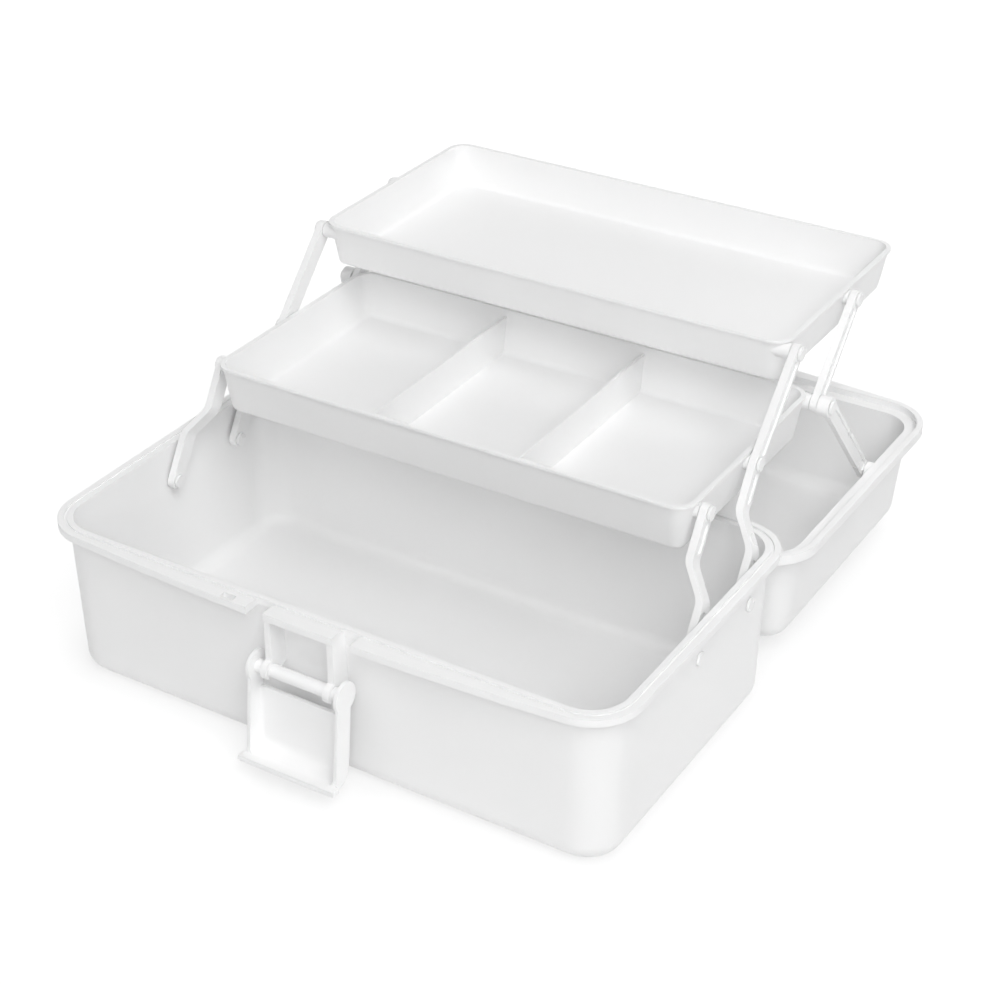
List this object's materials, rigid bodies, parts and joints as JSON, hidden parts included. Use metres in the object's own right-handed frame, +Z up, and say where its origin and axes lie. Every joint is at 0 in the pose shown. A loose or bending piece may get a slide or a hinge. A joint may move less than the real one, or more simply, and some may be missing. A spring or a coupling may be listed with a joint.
{
  "type": "three-tier storage box",
  "caption": "White plastic storage box whose lid swings back and folds out stacked trays on side arms, with a front latch and a carry handle.",
  "frame": {"origin": "centre of the base's underside", "axes": "+X to the right along the box, +Y to the back where the lid is hinged, +Z up"},
  "size_m": [0.332, 0.4068, 0.1771],
  "materials": {
    "shell_plastic": "satin",
    "tray_plastic": "satin",
    "handle_plastic": "satin",
    "arm_plastic": "satin",
    "pin_plastic": "satin"
  },
  "bodies": {
    "base_body": {"base_box": "shell_plastic", "lid_hinge_pin_left": "pin_plastic", "lid_hinge_pin_right": "pin_plastic", "base_front_pivot_pins": "pin_plastic", "base_rear_pivot_pins": "pin_plastic"},
    "lid_body": {"lid": "shell_plastic", "lid_link_pins": "pin_plastic"},
    "handle_body": {"carry_handle": "handle_plastic"},
    "latch_body": {"front_latch": "handle_plastic"},
    "front_arms": {"front_arm_left": "arm_plastic", "front_arm_right": "arm_plastic"},
    "long_arms": {"long_arm_left": "arm_plastic", "long_arm_right": "arm_plastic"},
    "middle_tray_body": {"middle_tray": "tray_plastic", "middle_tray_front_pins": "pin_plastic", "middle_tray_mid_pins": "pin_plastic", "middle_tray_rear_pins": "pin_plastic"},
    "top_tray_body": {"top_tray": "tray_plastic", "top_tray_front_pins": "pin_plastic", "top_tray_mid_pins": "pin_plastic"},
    "rear_arms": {"rear_arm_left": "arm_plastic", "rear_arm_right": "arm_plastic"},
    "lid_links": {"lid_link_left": "arm_plastic", "lid_link_right": "arm_plastic"}
  },
  "joints": [
    {"name": "lid_hinge", "type": "hinge", "parent": "base_body", "child": "lid_body", "pos_m": [0, 0.095, 0.0802], "axis": [1, 0, 0], "range_deg": [0, 180]},
    {"name": "front_arm_swing", "type": "hinge", "parent": "base_body", "child": "front_arms", "pos_m": [0, 0, 0.07], "axis": [1, 0, 0], "range_deg": [0, 106]},
    {"name": "long_arm_swing", "type": "hinge", "parent": "base_body", "child": "long_arms", "pos_m": [0, 0.0535, 0.07], "axis": [1, 0, 0], "range_deg": [0, 106]},
    {"name": "middle_tray_pivot", "type": "hinge", "parent": "long_arms", "child": "middle_tray_body", "pos_m": [0, 0.0873, 0.12785], "axis": [1, 0, 0], "range_deg": [-106, 0]},
    {"name": "top_tray_pivot", "type": "hinge", "parent": "long_arms", "child": "top_tray_body", "pos_m": [0, 0.12754, 0.171], "axis": [1, 0, 0], "range_deg": [-106, 0]},
    {"name": "rear_arm_swing", "type": "hinge", "parent": "middle_tray_body", "child": "rear_arms", "pos_m": [0, 0.159, 0.12785], "axis": [1, 0, 0], "range_deg": [0, 106]},
    {"name": "lid_link_swing", "type": "hinge", "parent": "middle_tray_body", "child": "lid_links", "pos_m": [0, 0.159, 0.12785], "axis": [1, 0, 0], "range_deg": [0, 220.1]},
    {"name": "latch_hinge", "type": "hinge", "parent": "base_body", "child": "latch_body", "pos_m": [0, -0.0998, 0.058], "axis": [-1, 0, 0], "range_deg": [0, 174]},
    {"name": "handle_pivot", "type": "hinge", "parent": "lid_body", "child": "handle_body", "pos_m": [0, 0.19, 0.00425], "axis": [-1, 0, 0], "range_deg": [0, 90]}
  ],
  "couplings": [
    {"joint": "front_arm_swing", "follows": "lid_hinge", "ratio": 0.58889},
    {"joint": "long_arm_swing", "follows": "lid_hinge", "ratio": 0.58889},
    {"joint": "middle_tray_pivot", "follows": "lid_hinge", "ratio": -0.58889},
    {"joint": "top_tray_pivot", "follows": "lid_hinge", "ratio": -0.58889},
    {"joint": "rear_arm_swing", "follows": "lid_hinge", "ratio": 0.58889},
    {"joint": "lid_link_swing", "follows": "lid_hinge", "ratio": 1.2228}
  ]
}
